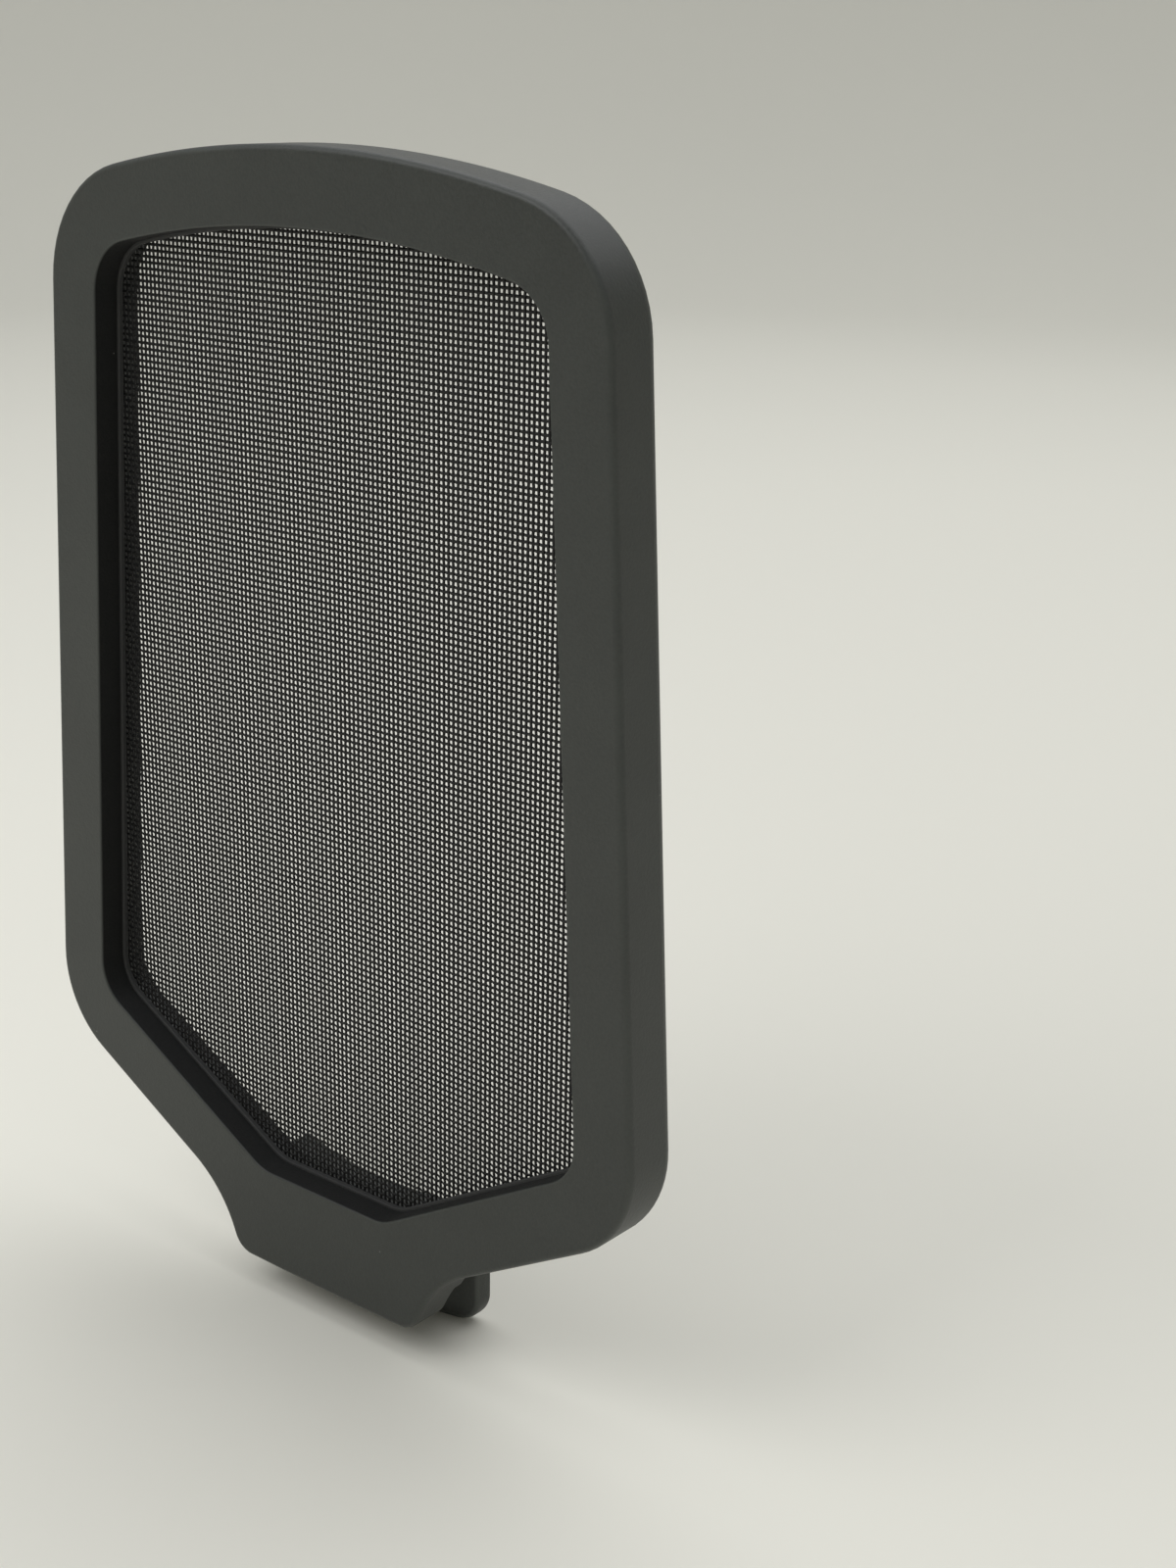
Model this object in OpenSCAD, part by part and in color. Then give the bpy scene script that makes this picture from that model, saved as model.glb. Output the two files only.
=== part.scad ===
// Clip-on pop filter for a studio microphone held in a ring-shaped shock mount.
// X runs across the filter, Y from its face to its back, and Z up. The origin is the middle
// of the seat that rests on the top edge of the ring's wall.

/* [Outline] */
// Height of the frame's arched top above the ring seat
frame_top = 107; // [90:0.5:125]
// Radius of the arched top
arch_r = 118; // [90:1:200]
// Width of the frame where its sides meet the arch
top_w = 68; // [60:0.5:76]
// Width of the frame at its lower side corners
low_w = 78; // [70:0.5:86]
// Height of the lower side corners above the ring seat
low_h = 16; // [14:0.5:24]
// Rounding of the top corners
top_round = 12; // [9:0.5:16]
// Rounding of the lower side corners
low_round = 11; // [9:0.5:14]
// Depth of the frame from face to back
frame_d = 6.2; // [5.8:0.1:9]

/* [Window] */
// Width of the rim above the window
rim_top = 7; // [6.5:0.1:10]
// Width of the rim beside the window
rim_side = 6.5; // [6.3:0.1:9]
// Width of the rim along the sloping lower edges
rim_low = 7; // [6.5:0.1:9]
// Height of the window's flat foot above the ring seat
window_foot = 6.8; // [6.4:0.1:9]
// Rounding of the window's corners under the arch and beside its foot
window_round = 5.3; // [4:0.1:8]
// Rounding of the window's lower side corners
window_side_round = 4.8; // [4:0.1:8]
// Depth of the front frame's window wall, from the face to the ledge under the mesh ring
window_d = 2.7; // [2:0.1:3]

/* [Tongue] */
// Width of the tongue where the sloping edges run into it
root_w = 30; // [28:0.2:34]
// Height of the tongue's root above the ring seat
root_h = 2.5; // [2:0.1:3.2]
// Width of the tongue at its lower end
tongue_w = 24.4; // [21:0.2:26]
// Drop of the tongue below the ring seat
tongue_drop = 3.8; // [3.4:0.1:8]
// Hollow rounding where the sloping edges run into the tongue
root_round = 13; // [8:0.5:14]
// Rounding of the tongue's lower corners
tongue_round = 2.6; // [1:0.1:3.2]
// Thickness of the tongue in front of the ring's wall
tongue_t = 2.4; // [2:0.1:3]

/* [Mesh] */
// Thickness of the mesh ring
ring_t = 0.5; // [0.4:0.1:0.6]
// Step by which the mesh ring stands into the window
ring_step = 0.3; // [0.1:0.1:0.6]
// Width of the ledge that carries the mesh ring around the window
ledge_w = 1.7; // [1.4:0.1:1.8]
// Thickness of the woven mesh
mesh_t = 0.4; // [0.3:0.05:0.5]

/* [Rear frame] */
// Thickness of the front frame's wall around the rear frame
skirt_t = 1.6; // [1.2:0.1:1.8]
// Thickness of the front frame's floor over the ring seat
floor_t = 1.2; // [1:0.1:1.4]
// Set-back of the rear frame's window from the front one
rear_step = 0.9; // [0.3:0.1:1.1]

/* [Clip] */
// Outer radius of the shock mount's ring
mount_r = 45; // [40:0.5:60]
// Thickness of the ring's wall
mount_wall = 4; // [3.8:0.1:4.4]
// Clearance on each side of the ring's wall
slot_clear = 0.2; // [0.1:0.05:0.3]
// Width of the clip
clip_w = 26; // [22:0.5:26]
// Thickness of the clip's jaw
jaw_t = 2; // [1.6:0.1:3]
// Drop of the jaw below the ring seat
jaw_drop = 7; // [6:0.5:14]
// Height of the lead-in chamfer at the jaw's tip
lead_in_h = 1.2; // [0.4:0.1:1.4]
// Width of the lead-in chamfer at the jaw's tip
lead_in_w = 0.8; // [0.3:0.1:1]
// Height of the clip's foot above the ring seat
clip_h = 5.6; // [5.2:0.1:6]
// Rounding of the foot's upper corners
foot_round = 1; // [0.5:0.1:2]
// Rounding of the jaw's lower corners
jaw_round = 3; // [1:0.1:4]

/* [Screws] */
// Diameter of the screws' shanks
shank_d = 1.6; // [1.4:0.1:1.7]
// Diameter of the screws' heads
head_d = 3; // [2.8:0.1:3.2]
// Height of the frame screws' countersunk heads
head_h = 0.8; // [0.6:0.1:1]
// Height of the clip screws' flat heads
flat_head_h = 1; // [0.8:0.1:1.2]
// Length of the cross in the screws' heads
cross_l = 1.8; // [1.4:0.1:2.2]
// Width of the cross's slots
cross_w = 0.4; // [0.3:0.1:0.5]
// Depth of the cross
cross_d = 0.4; // [0.2:0.1:0.5]
// Thickness of plastic left in front of the screws
screw_front = 1.2; // [1:0.1:1.6]
// Thickness of the clip's foot under its screws' heads
clip_seat_t = 1.4; // [1:0.1:1.8]
// Distance of the frame screws from the frame's outer edge
screw_in = 3.7; // [3.4:0.1:3.8]
// Height of the upper side screws above the ring seat
screw_high = 80; // [70:1:88]
// Height of the lower side screws above the ring seat
screw_low = 44; // [30:1:60]
// Height of the screws in the sloping lower edges above the ring seat
screw_foot = 13.5; // [11:0.5:15]
// Spacing of the screws in the arched top
screw_top_gap = 34; // [20:1:40]
// Spacing of the clip's screws
clip_screw_gap = 15; // [12:0.5:17]

/* [Fits] */
// Clearance around pieces that drop into a pocket
pocket_clear = 0.15; // [0.1:0.05:0.2]
// Clearance around the screws
screw_clear = 0.05; // [0.03:0.01:0.08]
// Clearance between a screw's tip and the end of its hole
tip_clear = 0.3; // [0.2:0.1:0.5]

/* [Hidden] */

$fn = 64;
// Sides of the circles about the shock mount's axis
mount_fn = 180;
// Steps in each arc of an outline
steps = 12;
// Smallest rounding that an offset outline keeps
least_round = 0.2;
// Length by which cuts run past the faces they open
cut = 1;

// Places along Y
slot_w = mount_wall + 2 * slot_clear;
face_y = -slot_w / 2 - tongue_t;
back_y = face_y + frame_d;
ledge_y = face_y + window_d;
mesh_y = ledge_y + ring_t;
plate_y = mesh_y + mesh_t;
mount_y = mount_r + slot_clear - slot_w / 2;
slot_r = mount_r + slot_clear;
jaw_r = slot_r - slot_w;
hole_y = face_y + screw_front;
tip_y = hole_y + tip_clear;
clip_head_y = back_y + clip_seat_t;

// Places along Z
arch_z = frame_top - arch_r;
foot_z = floor_t + pocket_clear;

// The frame's right edge from the arch down, and the rounding of each corner
edge = [
    [top_w / 2, arch_z + sqrt(arch_r * arch_r - top_w * top_w / 4)],
    [low_w / 2, low_h],
    [root_w / 2, root_h],
    [tongue_w / 2, -tongue_drop],
];
edge_round = [low_round, root_round, tongue_round];

// The window's right edge, parallel to the frame's
side_in = inward(edge[0], edge[1]);
slope_in = inward(edge[1], edge[2]);
side_dir = edge[1] - edge[0];
slope_dir = edge[2] - edge[1];
window_side = edge[0] + side_in * rim_side;
window_slope = edge[1] + slope_in * rim_low;
window_edge = [
    window_side,
    meet(window_side, side_dir, window_slope, slope_dir),
    meet(window_slope, slope_dir, [0, window_foot], [1, 0]),
];
window_edge_round = [window_side_round, window_round];

// Frame screws, right side: arch, side, side, slope
screw_side = edge[0] + side_in * screw_in;
screw_slope = edge[1] + slope_in * screw_in;
screw_places = [
    [screw_top_gap / 2, arch_z + sqrt(pow(arch_r - screw_in, 2) - pow(screw_top_gap / 2, 2))],
    meet(screw_side, side_dir, [0, screw_high], [1, 0]),
    meet(screw_side, side_dir, [0, screw_low], [1, 0]),
    meet(screw_slope, slope_dir, [0, screw_foot], [1, 0]),
];
// Clip screw, right side, half way up the clip's foot on the rear frame
clip_places = [[clip_screw_gap / 2, (foot_z + clip_h) / 2]];

// The clip's right edge, seen from the front
clip_right = [
    each corner([0, clip_h], [clip_w / 2, clip_h], [clip_w / 2, 0], foot_round),
    each corner([clip_w / 2, 0], [clip_w / 2, -jaw_drop], [0, -jaw_drop], jaw_round),
];

function unit(v) = v / norm(v);
// Unit normal that points into the frame, for a stretch that runs down the right edge
function inward(a, b) = let (u = unit(b - a)) [u.y, -u.x];
// Where the line through p along u meets the line through q along v
function meet(p, u, q, v) = p + u * cross(q - p, v) / cross(u, v);
// Corner b of a, b, c when both of its stretches move inward by t
function moved(a, b, c, t) = let (n = inward(a, b), m = inward(b, c)) b + (n + m) * t / (1 + n * m);
// Shortest turn between two bearings
function turn(from, to) = (to - from + 540) % 360 - 180;
function bearing(v) = atan2(v.y, v.x);
// Points of an arc about c, from the bearing of p to that of q
function arc(c, r, p, q) =
    let (from = bearing(p), sweep = turn(bearing(p), bearing(q)))
    [for (i = [0:steps]) c + r * [cos(from + sweep * i / steps), sin(from + sweep * i / steps)]];
// Rounded corner b between the stretches to a and c
function corner(a, b, c, r) =
    let (u = unit(a - b), v = unit(c - b), half = acos(u * v) / 2, m = b + unit(u + v) * r / sin(half))
    arc(m, r, b + u * r / tan(half) - m, b + v * r / tan(half) - m);
// Distance along u from p to the circle of radius r about c
function reach(p, u, c, r) = let (d = p - c, b = d * u) -b - sqrt(b * b - d * d + r * r);
// +1 at an outer corner, -1 at a hollow one
function sense(a, b, c) = sign(cross(c - b, b - a));
// The same points on the left, in reverse order
function mirrored(points) = [for (i = [len(points) - 1:-1:0]) [-points[i].x, points[i].y]];

// Closed outline under an arch of radius r: the right edge's corners, moved inward by t
function shield(path, rounds, r, top_r, t) =
    let (
        last = len(path) - 1,
        after = function (i) i == last ? [-path[last].x, path[last].y] : path[i + 1],
        start = path[0] + inward(path[0], path[1]) * t,
        pts = [for (i = [1:last]) moved(path[i - 1], path[i], after(i), t)],
        bend = function (i) sense(path[i - 1], path[i], after(i)),
        radii = [for (i = [1:last]) max(least_round, rounds[i - 1] - bend(i) * t)],
        u = unit(pts[0] - start),
        n = inward(start, pts[0]),
        hub = [0, arch_z],
        r_out = r - t,
        r_in = max(least_round, top_r - t),
        from = start + n * r_in,
        centre = from + u * reach(from, u, hub, r_out - r_in),
        right = concat(
            arc(hub, r_out, [0, 1], centre - hub),
            arc(centre, r_in, centre - hub, -n),
            [for (i = [0:last - 1], p = corner(
                i == 0 ? start : pts[i - 1],
                pts[i],
                i == last - 1 ? [-pts[i].x, pts[i].y] : pts[i + 1],
                radii[i]
            )) p]
        )
    )
    concat(right, mirrored([for (i = [1:len(right) - 1]) right[i]]));

function frame_outline(t) = shield(edge, edge_round, arch_r, top_round, t);
function window_outline(t) = shield(window_edge, window_edge_round, arch_r - rim_top, window_round, -t);

// Upright slab of the flat shape below it, from y = a to y = b
module slab(a, b) {
    translate([0, b, 0]) rotate([90, 0, 0]) linear_extrude(b - a) children();
}

// Children at each place and its mirror image, with their Z axis towards the back
module at_screws(places) {
    for (p = places, side = [-1, 1])
        translate([side * p.x, 0, p.y]) rotate([-90, 0, 0]) children();
}

// Space behind the front plate that takes the rear frame, less t all round
module pocket(t) {
    intersection() {
        polygon(frame_outline(skirt_t + t));
        translate([-low_w, floor_t + t]) square([2 * low_w, frame_top]);
    }
}

// Round column about the ring's axis, from z = a to z = b
module mount_column(r, a, b) {
    translate([0, mount_y, a]) cylinder(r = r, h = b - a, $fn = mount_fn);
}

// Hole for a screw's shank, from y = a to y = b
module shank_hole(a, b) {
    translate([0, 0, a]) cylinder(d = shank_d + 2 * screw_clear, h = b - a);
}

module front_frame() {
    color("#3c3f3d")
    difference() {
        slab(face_y, back_y) polygon(frame_outline(0));
        slab(face_y - cut, back_y + cut) polygon(window_outline(0));
        slab(ledge_y, back_y + cut) polygon(window_outline(ledge_w));
        slab(plate_y, back_y + cut) pocket(0);
        mount_column(slot_r, -2 * tongue_drop, 0);
        at_screws(concat(screw_places, clip_places)) shank_hole(hole_y, plate_y + cut);
    }
}

module mesh_ring() {
    color("#2b2d2c")
    slab(ledge_y, mesh_y) difference() {
        polygon(window_outline(ledge_w - pocket_clear));
        polygon(window_outline(-ring_step));
    }
}

module mesh_panel() {
    color("#1d1e1e")
    slab(mesh_y, plate_y) polygon(window_outline(ledge_w - pocket_clear));
}

module rear_frame() {
    color("#363938")
    difference() {
        slab(plate_y, back_y) difference() {
            pocket(pocket_clear);
            polygon(window_outline(rear_step));
        }
        at_screws(concat(screw_places, clip_places)) shank_hole(plate_y - cut, back_y + cut);
        at_screws(screw_places) translate([0, 0, back_y - head_h - screw_clear]) screw_head(screw_clear);
    }
}

// Countersunk head grown by t on every side
module screw_head(t) {
    cylinder(d1 = shank_d + 2 * t, d2 = head_d + 2 * t, h = head_h + t);
}

// Screw whose head, the child, starts at y = b and is h high, with a cross in it
module screw(b, h) {
    difference() {
        union() {
            translate([0, 0, tip_y]) cylinder(d = shank_d, h = b + h / 2 - tip_y);
            translate([0, 0, b]) children();
        }
        translate([0, 0, b + h - cross_d])
            for (a = [0, 90])
                rotate([0, 0, a]) translate([-cross_l / 2, -cross_w / 2, 0]) cube([cross_l, cross_w, h]);
    }
}

module frame_screws() {
    color("#8a8d8c")
    at_screws(screw_places) screw(back_y - head_h, head_h) screw_head(0);
}

module clip_jaw() {
    color("#363938")
    difference() {
        intersection() {
            union() {
                // Foot, between the frame's back and the jaw
                translate([-clip_w, back_y, 0]) cube([2 * clip_w, mount_r / 2, clip_h]);
                // Jaw inside the ring's wall
                mount_column(jaw_r, -jaw_drop, 0);
            }
            slab(-slot_w, mount_r / 2) polygon(concat(clip_right, mirrored(clip_right)));
        }
        mount_column(jaw_r - jaw_t, -jaw_drop - cut, clip_h + cut);
        // Lead-in at the jaw's tip
        difference() {
            mount_column(jaw_r + cut, -jaw_drop - cut, -jaw_drop + lead_in_h);
            translate([0, mount_y, -jaw_drop])
                cylinder(r1 = jaw_r - lead_in_w, r2 = jaw_r, h = lead_in_h, $fn = mount_fn);
        }
        at_screws(clip_places) {
            shank_hole(back_y - cut, clip_head_y);
            translate([0, 0, clip_head_y]) cylinder(d = head_d + 2 * screw_clear, h = mount_r / 2);
        }
    }
}

module clip_screws() {
    color("#8a8d8c")
    at_screws(clip_places) screw(clip_head_y, flat_head_h) cylinder(d = head_d, h = flat_head_h);
}

front_frame();
mesh_ring();
mesh_panel();
rear_frame();
frame_screws();
clip_jaw();
clip_screws();
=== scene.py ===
"""Clip-on pop filter: moulded frames, a woven mesh and a clip, with a plain studio round them."""

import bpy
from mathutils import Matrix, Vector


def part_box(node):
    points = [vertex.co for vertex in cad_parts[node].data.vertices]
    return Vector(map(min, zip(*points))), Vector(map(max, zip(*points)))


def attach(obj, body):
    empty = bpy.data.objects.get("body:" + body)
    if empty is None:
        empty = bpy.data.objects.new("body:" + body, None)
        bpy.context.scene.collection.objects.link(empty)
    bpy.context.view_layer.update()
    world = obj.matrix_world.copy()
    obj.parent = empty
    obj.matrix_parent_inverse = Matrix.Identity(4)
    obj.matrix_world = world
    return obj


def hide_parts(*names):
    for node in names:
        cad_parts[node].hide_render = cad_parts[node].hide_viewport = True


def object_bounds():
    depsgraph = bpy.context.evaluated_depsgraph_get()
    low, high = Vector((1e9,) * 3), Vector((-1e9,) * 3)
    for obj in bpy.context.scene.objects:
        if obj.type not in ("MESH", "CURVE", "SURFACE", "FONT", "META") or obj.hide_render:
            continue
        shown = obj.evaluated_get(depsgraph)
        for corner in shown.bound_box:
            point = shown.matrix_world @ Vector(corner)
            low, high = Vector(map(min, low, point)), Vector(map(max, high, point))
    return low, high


bl_info = {
    "name": "Clip-on pop filter",
    "version": (1, 0, 0),
    "blender": (4, 5, 0),
    "location": "View3D > Sidebar > Pop filter",
    "description": "Builds a shield-shaped pop filter with a woven mesh round its packed frame",
    "category": "Add Mesh",
}

import math
from functools import partialmethod

import bmesh
import bpy
import numpy as np
from bpy.props import FloatProperty, FloatVectorProperty, IntProperty, PointerProperty
from mathutils import Matrix, Vector
from mathutils.geometry import delaunay_2d_cdt

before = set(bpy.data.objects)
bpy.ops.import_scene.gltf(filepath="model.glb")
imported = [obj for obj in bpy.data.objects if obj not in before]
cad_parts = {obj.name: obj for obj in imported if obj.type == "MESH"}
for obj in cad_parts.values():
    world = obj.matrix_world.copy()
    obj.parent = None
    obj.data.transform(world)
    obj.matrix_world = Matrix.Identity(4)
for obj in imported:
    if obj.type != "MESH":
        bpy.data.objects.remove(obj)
cad_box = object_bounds()

MM = 0.001
BODY = "root"

# Heights and depths that the packed frame fixes
FACE_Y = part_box("front_frame")[0].y
BACK_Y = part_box("front_frame")[1].y
TOP_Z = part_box("front_frame")[1].z
TONGUE_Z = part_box("front_frame")[0].z
LEDGE_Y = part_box("mesh_ring")[0].y
MESH_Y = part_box("mesh_panel")[0].y
PLATE_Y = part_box("rear_frame")[0].y
REAR_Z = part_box("rear_frame")[0].z
SCREW_TIP_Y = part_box("frame_screws")[0].y
CLIP_HEAD_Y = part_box("clip_screws")[1].y
CLIP_LOW, CLIP_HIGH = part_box("clip_jaw")

# Stations in an arc of a corner, in the arch, and inside each straight stretch
CORNER, ARCH, SIDE, SLOPE, FOOT = 12, 24, 8, 5, 6
QUARTER = np.linspace(0, math.pi / 2, 7)
# Sides of a screw, and the angle from which an edge is sharp
SIDES, SHARP = 32, math.radians(33)


def length(name, millimetres, description):
    """A length property whose default is given in millimetres."""
    return FloatProperty(
        name=name, default=millimetres * MM, min=0, precision=5, unit="LENGTH", description=description
    )


def angle(name, degrees, description):
    """An angle property whose default is given in degrees."""
    return FloatProperty(name=name, default=math.radians(degrees), subtype="ANGLE", description=description)


def power(name, watts, description):
    """A lamp's power."""
    return FloatProperty(name=name, default=watts, min=0, unit="POWER", description=description)


def colour(name, value, description):
    """A linear colour."""
    return FloatVectorProperty(
        name=name, default=value, size=3, min=0, max=1, subtype="COLOR", description=description
    )


class FrameShape(bpy.types.PropertyGroup):
    """Sizes of the moulded frames. Heights are above the seat."""

    arch_radius: length("Arch radius", 118, "Radius of the arched top")
    top_width: length("Top width", 68, "Width where sides and arch meet")
    low_width: length("Low width", 78, "Width at the lower side corners")
    low_height: length("Low height", 16, "Height of the lower side corners")
    top_round: length("Top rounding", 12, "Rounding of the top corners")
    low_round: length("Low rounding", 11, "Rounding of the lower side corners")
    root_width: length("Root width", 30, "Width of the tongue's root")
    root_height: length("Root height", 2.5, "Height of the tongue's root")
    tongue_width: length("Tongue width", 24.4, "Width of the tongue's lower end")
    root_round: length("Root rounding", 13, "Hollow rounding at the tongue's root")
    tongue_round: length("Tongue rounding", 2.6, "Rounding of the tongue's lower corners")
    rim_top: length("Top rim", 7, "Width of the rim above the window")
    rim_side: length("Side rim", 6.5, "Width of the rim beside the window")
    rim_low: length("Low rim", 7, "Width of the rim along the slopes")
    window_foot: length("Window foot", 6.8, "Height of the window's flat foot")
    window_round: length("Window rounding", 5.3, "Rounding of the window's other corners")
    window_side_round: length("Window side rounding", 4.8, "Rounding of its lower side corners")
    ledge_width: length("Ledge width", 1.7, "Width of the ledge under the mesh ring")
    ring_step: length("Ring step", 0.3, "Step of the mesh ring into the window")
    skirt: length("Skirt", 1.6, "Thickness of the wall round the rear frame")
    floor: length("Floor", 1.2, "Thickness of the floor over the seat")
    rear_step: length("Rear step", 0.9, "Set-back of the rear frame's window")
    clearance: length("Clearance", 0.15, "Clearance round pieces that drop in")
    face_edge: length("Face edge", 0.6, "Rounding of the face's edge")
    back_edge: length("Back edge", 1.2, "Rounding of the back's edge")
    tongue_face_edge: length("Tongue face edge", 0.4, "Rounding of the tongue's face")
    tongue_edge: length("Tongue edge", 0.3, "Rounding of the tongue's edge at the slot")
    window_edge: length("Window edge", 0.22, "Rounding of the window's edge")
    rear_edge: length("Rear edge", 0.25, "Rounding of the rear frame's edges")
    mount_radius: length("Mount radius", 45, "Outer radius of the shock mount's ring")
    mount_wall: length("Mount wall", 4, "Thickness of that ring's wall")
    slot_clearance: length("Slot clearance", 0.2, "Clearance on each side of that wall")


class ClipShape(bpy.types.PropertyGroup):
    """Sizes of the clip and of the screws."""

    jaw_thickness: length("Jaw thickness", 2, "Thickness of the jaw")
    foot_round: length("Foot rounding", 1, "Rounding of the upper corners")
    jaw_round: length("Jaw rounding", 3, "Rounding of the lower corners")
    lead_height: length("Lead-in height", 1.2, "Height of the lead-in at the jaw's tip")
    lead_width: length("Lead-in width", 0.8, "Width of the lead-in at the jaw's tip")
    edge: length("Edge", 0.45, "Rounding of the clip's edges")
    shank: length("Shank", 1.6, "Diameter of the screws' shanks")
    head: length("Head", 3, "Diameter of the screws' heads")
    head_height: length("Countersunk height", 0.8, "Height of the countersunk heads")
    flat_height: length("Flat head height", 1, "Height of the clip screws' heads")
    fit: length("Screw fit", 0.05, "Clearance round the screws")
    cross_length: length("Cross length", 1.8, "Length of the cross in the heads")
    cross_width: length("Cross width", 0.4, "Width of the cross's slots")
    cross_depth: length("Cross depth", 0.4, "Depth of the cross")
    screw_inset: length("Screw inset", 3.7, "Distance from the frame's outer edge")
    screw_high: length("Upper screws", 80, "Height of the upper side screws")
    screw_low: length("Lower screws", 44, "Height of the lower side screws")
    screw_foot: length("Foot screws", 13.5, "Height of the screws in the slopes")
    screw_gap: length("Top screw spacing", 34, "Spacing of the screws in the arch")
    clip_gap: length("Clip screw spacing", 15, "Spacing of the clip's screws")


class Weave(bpy.types.PropertyGroup):
    """Sizes of the woven mesh."""

    across: length("Pitch across", 0.568, "Spacing of the upright threads")
    along: length("Pitch along", 0.581, "Spacing of the level threads")
    upright: length("Upright thread", 0.35, "Width of the upright threads")
    level: length("Level thread", 0.29, "Width of the level threads")
    upright_depth: length("Upright depth", 0.18, "Thickness of the upright threads, rolled a little flat")
    level_depth: length("Level depth", 0.16, "Thickness of the level threads, rolled a little flat")
    upright_wave: length("Upright wave", 0.04, "Swing of the upright threads out of the sheet's middle")
    level_wave: length("Level wave", 0.12, "Swing of the level threads out of the sheet's middle")
    wander: length("Wander", 0.012, "How far a thread strays from its place")
    clamp: length("Clamped width", 1.3, "Width of mesh held under the ring all round")
    sides: IntProperty(name="Thread sides", default=6, min=4, max=12, description="Sides of a thread")
    seed: IntProperty(name="Seed", default=7, min=0, description="Seed of the threads' wander")


class Finish(bpy.types.PropertyGroup):
    """Colours and surface grain."""

    plastic: colour("Frame plastic", (0.029, 0.0322, 0.0288), "Colour of the moulded frames")
    ring: colour("Ring plastic", (0.024, 0.025, 0.025), "Colour of the mesh ring")
    thread: colour("Thread", (0.008, 0.008, 0.008), "Colour of the mesh's threads")
    steel: colour("Screw steel", (0.080, 0.080, 0.082), "Colour of the blackened screws")
    grain: length("Grain", 0.26, "Width of the grains in the moulded surface")
    satin: FloatProperty(
        name="Satin", default=0.46, min=0, max=1, subtype="FACTOR", description="Roughness of the mouldings"
    )


class Studio(bpy.types.PropertyGroup):
    """The camera, the floor and the lamps."""

    lens: FloatProperty(name="Lens", default=51.77, unit="CAMERA", description="Focal length")
    azimuth: angle("Azimuth", 38.87, "Turn of the view")
    pitch: angle("Pitch", 18.17, "How far the view looks down")
    roll: angle("Roll", 1.09, "Tilt of the view")
    eye: FloatVectorProperty(
        name="Eye", default=(0.1450, -0.1435, 0.1156), subtype="XYZ", unit="LENGTH",
        description="Place of the camera",
    )
    pale: colour("Backdrop", (0.86, 0.845, 0.77), "Colour of the floor and backdrop")
    sky: FloatProperty(name="Sky", default=0.42, min=0, description="Strength of the soft light all round")
    overhead: power("Overhead lamp", 3.8, "Power of the large lamp above and behind")
    front_light: power("Front light", 0.7, "Power of the lamp over the floor in front")
    floor_radius: length("Floor radius", 900, "Radius of the flat floor")
    sweep: length("Sweep", 550, "Radius of the curve from the floor to the backdrop")
    rise: length("Rise", 300, "Height of the backdrop above the curve")


# Shapes in the plane of the face: a station is x, z and the inward normal's x, z


def unit(v):
    """The vector v at length one."""
    return v / np.linalg.norm(v)


def inward(a, b):
    """Unit normal that points into the shape, for a stretch that runs down its right edge."""
    u = unit(b - a)
    return np.array([u[1], -u[0]])


def product(u, v):
    """The cross product of two vectors of the plane."""
    return u[0] * v[1] - u[1] * v[0]


def meet(p, u, q, v):
    """Where the line through p along u meets the line through q along v."""
    return p + u * product(q - p, v) / product(u, v)


def level_line(z):
    """A point and the direction of the level line at height z."""
    return np.array([0, z]), np.array([1, 0])


def both_sides(right):
    """Places on the right, then their mirror images on the left."""
    return np.vstack([right, np.array(right) * (-1, 1)])


def arc(centre, radius, start, end, steps, hollow=False):
    """Stations centre + radius (cos a, sin a), with a turning the short way from the bearing of start to
    that of end. The normal points to the centre, or away from it in a hollow corner."""
    first = math.atan2(start[1], start[0])
    turn = (math.atan2(end[1], end[0]) - first + math.pi) % (2 * math.pi) - math.pi
    a = first + turn * np.linspace(0, 1, steps + 1)
    out = np.column_stack([np.cos(a), np.sin(a)])
    return np.hstack([centre + radius * out, out if hollow else -out])


def between(a, b, count):
    """count stations evenly spaced inside the straight stretch from a to b."""
    return a + (b - a) * np.linspace(0, 1, count + 2)[1:-1, None]


def rounded(path, rounds, spans):
    """Stations along a path whose inner corners are arcs tangent to both stretches. spans gives how many
    stations lie inside each straight stretch."""
    here = np.r_[path[0], inward(path[0], path[1])]
    parts = [here[None]]
    for a, b, c, radius, span in zip(path, path[1:], path[2:], rounds, spans):
        u, v = unit(a - b), unit(c - b)
        half = math.acos(u @ v) / 2
        centre = b + unit(u + v) * radius / math.sin(half)
        reach = radius / math.tan(half)
        hollow = inward(a, b) @ v < 0
        bend = arc(centre, radius, b + u * reach - centre, b + v * reach - centre, CORNER, hollow)
        parts += [between(here, bend[0], span), bend]
        here = bend[-1]
    end = np.r_[path[-1], inward(path[-2], path[-1])]
    return np.vstack([*parts, between(here, end, spans[-1]), end[None]])


def shield(corners, rounds, hub, arch, top_round, spans):
    """Right half of a shield: the arc of the arch about hub, the top corner's arc tangent to it and to the
    side, then the rounded path through the other corners to the middle of the foot."""
    u, n = unit(corners[1] - corners[0]), inward(corners[0], corners[1])
    start = corners[0] + n * top_round
    d = start - hub
    along = d @ u
    centre = start - u * (along + math.sqrt(along**2 - d @ d + (arch - top_round) ** 2))
    top = arc(hub, arch, np.array([0, 1]), centre - hub, ARCH)
    corner = arc(centre, top_round, centre - hub, -n, CORNER)
    path = [corner[-1, :2], *corners[1:], np.array([0, corners[-1][1]])]
    return np.vstack([top, corner[1:], rounded(path, rounds, spans)[1:]])


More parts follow.
